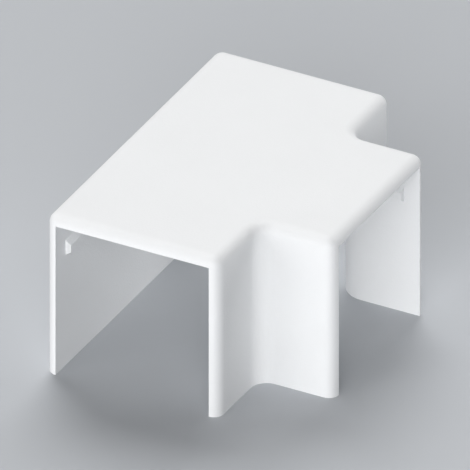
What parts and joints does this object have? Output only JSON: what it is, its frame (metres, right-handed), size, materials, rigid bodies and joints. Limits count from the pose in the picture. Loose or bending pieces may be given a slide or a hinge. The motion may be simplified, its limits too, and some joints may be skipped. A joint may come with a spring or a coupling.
{
  "type": "trunking tee fitting",
  "caption": "One-piece moulded tee cover for square cable trunking, open at its three ends and towards the wall, with rounded edges and snap ribs inside.",
  "frame": {"origin": "on the wall plane, where the centre lines of the run and of the branch cross", "axes": "+X along the straight run, -Y towards the branch's opening, +Z away from the wall"},
  "size_m": [0.086, 0.0653, 0.043],
  "materials": {
    "white_pvc": "fine satin, as moulded"
  },
  "bodies": {
    "root": {"tee_cover": "white_pvc"}
  },
  "joints": []
}
